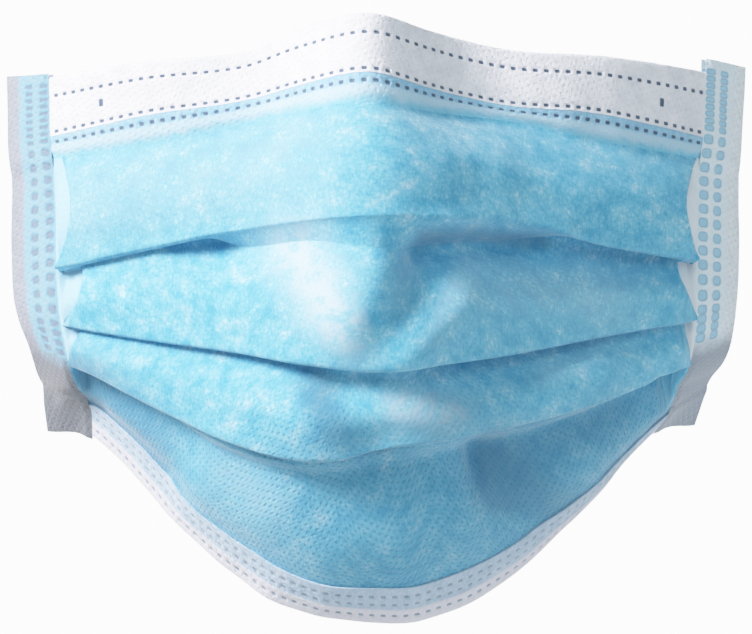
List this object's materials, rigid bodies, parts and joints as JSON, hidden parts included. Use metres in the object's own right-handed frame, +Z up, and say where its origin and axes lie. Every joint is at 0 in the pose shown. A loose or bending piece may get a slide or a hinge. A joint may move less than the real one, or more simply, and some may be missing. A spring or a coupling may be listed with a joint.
{
  "type": "surgical face mask",
  "caption": "Pleated disposable surgical face mask in its worn shape, with white folded hems top and bottom and welded tapes down both sides.",
  "frame": {"origin": "where the mask sits on the bridge of the nose, on the inner face of its top hem at the middle", "axes": "+X to the viewer's right as the mask is seen from the front, the front faces -Y, +Z up"},
  "size_m": [0.1563, 0.0643, 0.1256],
  "materials": {
    "blue_cloth": "soft matte spunbond polypropylene, light blue",
    "white_cloth": "soft matte spunbond polypropylene, white",
    "pale_cloth": "thin translucent ply, pale blue",
    "tape_cloth": "welded nonwoven binding, off-white"
  },
  "bodies": {
    "root": {"mask_body": "blue_cloth", "nose_band": "white_cloth", "nose_strip": "pale_cloth", "bottom_hem": "white_cloth", "side_tape_left": "tape_cloth", "side_tape_right": "tape_cloth"}
  },
  "joints": []
}
